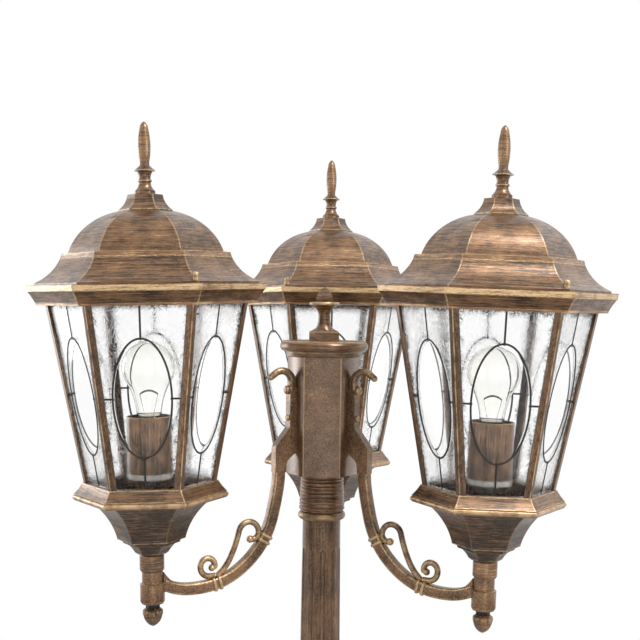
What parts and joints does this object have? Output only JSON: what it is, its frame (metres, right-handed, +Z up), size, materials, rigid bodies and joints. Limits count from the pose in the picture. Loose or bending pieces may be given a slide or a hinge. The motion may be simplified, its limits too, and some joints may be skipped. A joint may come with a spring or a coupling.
{
  "type": "triple head lamp post",
  "caption": "Garden lamp post with a fluted shaft, a six-sided hub and scrolled arms carrying hexagonal lanterns with leaded oval panes.",
  "frame": {"origin": "centre of the base on the ground, on the post's axis", "axes": "+Z up along the post, -Y towards the front, between the left and right lanterns; the rear arm runs along +Y"},
  "size_m": [0.6541, 0.5761, 2.1631],
  "materials": {
    "antique_bronze": "brushed brown and copper patina under clear lacquer",
    "antique_gold": "worn gold patina",
    "textured_glass": "rippled clear glass",
    "leading": "dark satin",
    "candle_sleeve": "satin",
    "ceramic": "glazed",
    "nickelled_brass": "bright",
    "bulb_glass": "clear",
    "tungsten": "drawn",
    "screw_steel": "zinc plated",
    "zinc_plated_steel": "zinc plated",
    "black_steel": "black oxide"
  },
  "bodies": {
    "post": {"acorn_nuts": "antique_gold", "arm_screws": "screw_steel", "base": "antique_bronze", "collars": "antique_gold", "grooved_collar": "antique_gold", "hub": "antique_bronze", "hub_cap": "antique_bronze", "hub_finial": "antique_gold", "knuckle": "antique_bronze", "lamp_tubes": "zinc_plated_steel", "left_arm": "antique_bronze", "left_bowl": "antique_bronze", "left_bulb_cap": "nickelled_brass", "left_bulb_glass": "bulb_glass", "left_cage_ribs": "antique_gold", "left_cames": "leading", "left_cornice": "antique_bronze", "left_filament": "tungsten", "left_glass_panes": "textured_glass", "left_lampholder": "ceramic", "left_lower_rim": "antique_bronze", "left_socket_cover": "candle_sleeve", "lock_nuts": "black_steel", "lower_shaft": "antique_bronze", "neck_ring": "antique_gold", "rear_arm": "antique_bronze", "rear_bowl": "antique_bronze", "rear_bulb_cap": "nickelled_brass", "rear_bulb_glass": "bulb_glass", "rear_cage_ribs": "antique_gold", "rear_cames": "leading", "rear_cornice": "antique_bronze", "rear_filament": "tungsten", "rear_glass_panes": "textured_glass", "rear_lampholder": "ceramic", "rear_lower_rim": "antique_bronze", "rear_socket_cover": "candle_sleeve", "right_arm": "antique_bronze", "right_bowl": "antique_bronze", "right_bulb_cap": "nickelled_brass", "right_bulb_glass": "bulb_glass", "right_cage_ribs": "antique_gold", "right_cames": "leading", "right_cornice": "antique_bronze", "right_filament": "tungsten", "right_glass_panes": "textured_glass", "right_lampholder": "ceramic", "right_lower_rim": "antique_bronze", "right_socket_cover": "candle_sleeve", "upper_shaft": "antique_bronze"},
    "left_roof_lid": {"left_roof": "antique_bronze", "left_finial": "antique_gold", "left_roof_screws": "screw_steel"},
    "right_roof_lid": {"right_roof": "antique_bronze", "right_finial": "antique_gold", "right_roof_screws": "screw_steel"},
    "rear_roof_lid": {"rear_roof": "antique_bronze", "rear_finial": "antique_gold", "rear_roof_screws": "screw_steel"}
  },
  "joints": [
    {"name": "left_roof_lift", "type": "slide", "parent": "post", "child": "left_roof_lid", "axis": [-0.0257, -0.0148, 0.9996], "range_m": [0, 0.15]},
    {"name": "right_roof_lift", "type": "slide", "parent": "post", "child": "right_roof_lid", "axis": [0.0257, -0.0148, 0.9996], "range_m": [0, 0.15]},
    {"name": "rear_roof_lift", "type": "slide", "parent": "post", "child": "rear_roof_lid", "axis": [0, 0.0297, 0.9996], "range_m": [0, 0.15]}
  ]
}
